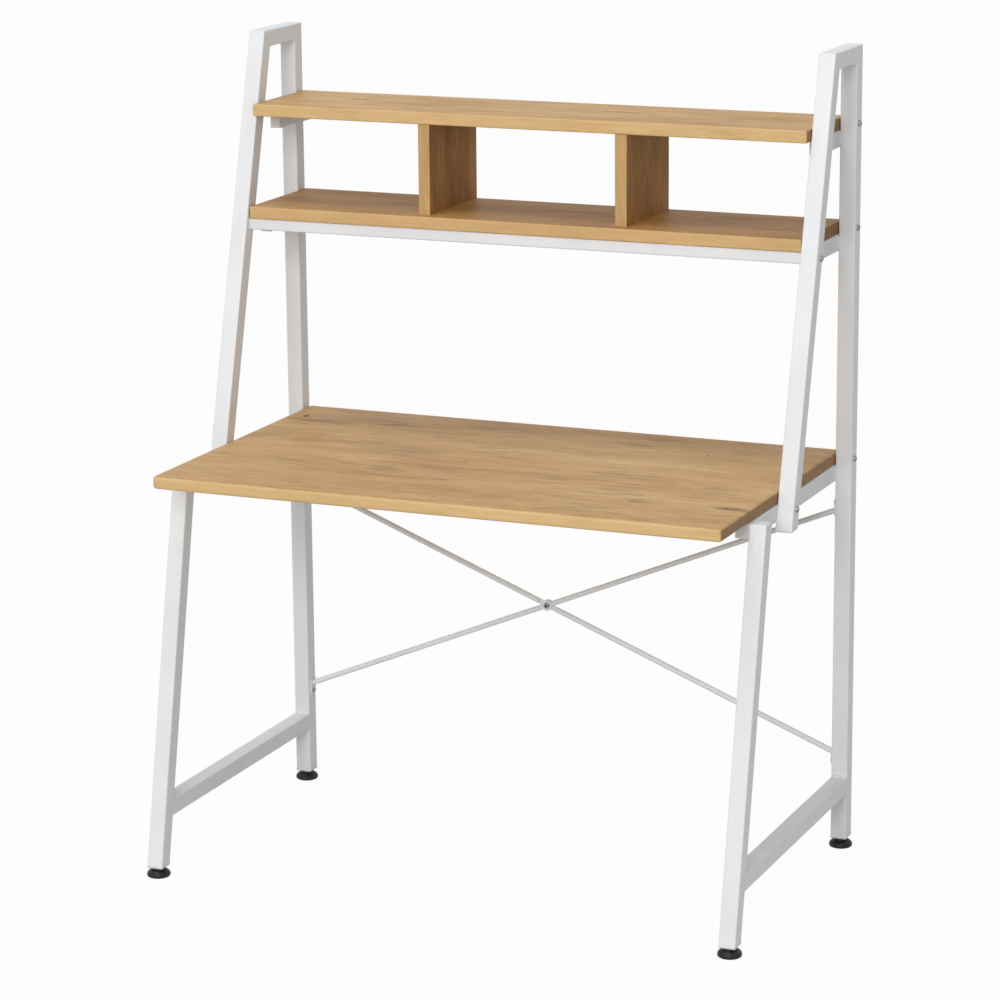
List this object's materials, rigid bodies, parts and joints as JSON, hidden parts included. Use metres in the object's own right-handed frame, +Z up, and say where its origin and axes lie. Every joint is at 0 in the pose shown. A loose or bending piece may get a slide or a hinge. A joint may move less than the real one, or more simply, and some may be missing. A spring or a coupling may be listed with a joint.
{
  "type": "ladder desk",
  "caption": "Ladder desk with a wide work surface and a divided shelf hutch between slanted square-tube side frames, crossed rods behind and screw-in levelling feet.",
  "frame": {"origin": "on the floor under the middle of the desk, centred between the feet", "axes": "+X to the right seen from the seat, +Y to the back, +Z up"},
  "size_m": [1.112, 0.64, 1.445],
  "materials": {
    "white_powder_coat": "satin",
    "oak_board": "satin lacquer",
    "beech_dowel": "bare",
    "black_plastic": "moulded",
    "white_plastic": "moulded",
    "zinc_steel": "zinc plated"
  },
  "bodies": {
    "frame": {"barrel_nuts": "zinc_steel", "brace_rod_falling": "white_powder_coat", "brace_rod_rising": "white_powder_coat", "brace_screws": "zinc_steel", "brace_tabs": "white_powder_coat", "desk_rail_bolts": "zinc_steel", "desk_rail_left": "white_powder_coat", "desk_rail_nuts": "zinc_steel", "desk_rail_right": "white_powder_coat", "desk_screws": "zinc_steel", "desktop": "oak_board", "divider_dowels": "beech_dowel", "divider_left": "oak_board", "divider_right": "oak_board", "divider_screws": "zinc_steel", "foot_plug_front_left": "white_plastic", "foot_plug_front_right": "white_plastic", "foot_plug_rear_left": "white_plastic", "foot_plug_rear_right": "white_plastic", "front_rail": "white_powder_coat", "front_rail_bolts": "zinc_steel", "front_rail_inserts": "zinc_steel", "hub_bolt": "zinc_steel", "hub_nut": "zinc_steel", "leg_cap_left": "white_plastic", "leg_cap_right": "white_plastic", "lower_bar_plugs": "white_plastic", "lower_leg_left": "white_powder_coat", "lower_leg_right": "white_powder_coat", "lower_shelf": "oak_board", "lower_shelf_bar_left": "white_powder_coat", "lower_shelf_bar_right": "white_powder_coat", "lower_shelf_screws": "zinc_steel", "post_bolts": "zinc_steel", "rail_plugs": "white_plastic", "rear_post_left": "white_powder_coat", "rear_post_right": "white_powder_coat", "stretcher_left": "white_powder_coat", "stretcher_right": "white_powder_coat", "top_bar_left": "white_powder_coat", "top_bar_plugs": "white_plastic", "top_bar_right": "white_powder_coat", "top_shelf": "oak_board", "top_shelf_bar_left": "white_powder_coat", "top_shelf_bar_right": "white_powder_coat", "top_shelf_screws": "zinc_steel", "upright_left": "white_powder_coat", "upright_plug_left": "white_plastic", "upright_plug_right": "white_plastic", "upright_right": "white_powder_coat"},
    "foot_stem_front_left": {"foot_stem_front_left": "zinc_steel"},
    "foot_pad_front_left": {"foot_pad_front_left": "black_plastic"},
    "foot_stem_rear_left": {"foot_stem_rear_left": "zinc_steel"},
    "foot_pad_rear_left": {"foot_pad_rear_left": "black_plastic"},
    "foot_stem_front_right": {"foot_stem_front_right": "zinc_steel"},
    "foot_pad_front_right": {"foot_pad_front_right": "black_plastic"},
    "foot_stem_rear_right": {"foot_stem_rear_right": "zinc_steel"},
    "foot_pad_rear_right": {"foot_pad_rear_right": "black_plastic"}
  },
  "joints": [
    {"name": "foot_lift_front_left", "type": "slide", "parent": "frame", "child": "foot_stem_front_left", "axis": [0, 0, -1], "range_m": [0, 0.01]},
    {"name": "foot_turn_front_left", "type": "hinge", "parent": "foot_stem_front_left", "child": "foot_pad_front_left", "pos_m": [-0.535, -0.299, 0.01], "axis": [0, 0, -1], "range_deg": [0, 2881]},
    {"name": "foot_lift_rear_left", "type": "slide", "parent": "frame", "child": "foot_stem_rear_left", "axis": [0, 0, -1], "range_m": [0, 0.01]},
    {"name": "foot_turn_rear_left", "type": "hinge", "parent": "foot_stem_rear_left", "child": "foot_pad_rear_left", "pos_m": [-0.535, 0.299, 0.01], "axis": [0, 0, -1], "range_deg": [0, 2881]},
    {"name": "foot_lift_front_right", "type": "slide", "parent": "frame", "child": "foot_stem_front_right", "axis": [0, 0, -1], "range_m": [0, 0.01]},
    {"name": "foot_turn_front_right", "type": "hinge", "parent": "foot_stem_front_right", "child": "foot_pad_front_right", "pos_m": [0.535, -0.299, 0.01], "axis": [0, 0, -1], "range_deg": [0, 2881]},
    {"name": "foot_lift_rear_right", "type": "slide", "parent": "frame", "child": "foot_stem_rear_right", "axis": [0, 0, -1], "range_m": [0, 0.01]},
    {"name": "foot_turn_rear_right", "type": "hinge", "parent": "foot_stem_rear_right", "child": "foot_pad_rear_right", "pos_m": [0.535, 0.299, 0.01], "axis": [0, 0, -1], "range_deg": [0, 2881]}
  ],
  "couplings": [
    {"joint": "foot_turn_front_left", "follows": "foot_lift_front_left", "rad_per_m": 5026.5},
    {"joint": "foot_turn_rear_left", "follows": "foot_lift_rear_left", "rad_per_m": 5026.5},
    {"joint": "foot_turn_front_right", "follows": "foot_lift_front_right", "rad_per_m": 5026.5},
    {"joint": "foot_turn_rear_right", "follows": "foot_lift_rear_right", "rad_per_m": 5026.5}
  ]
}
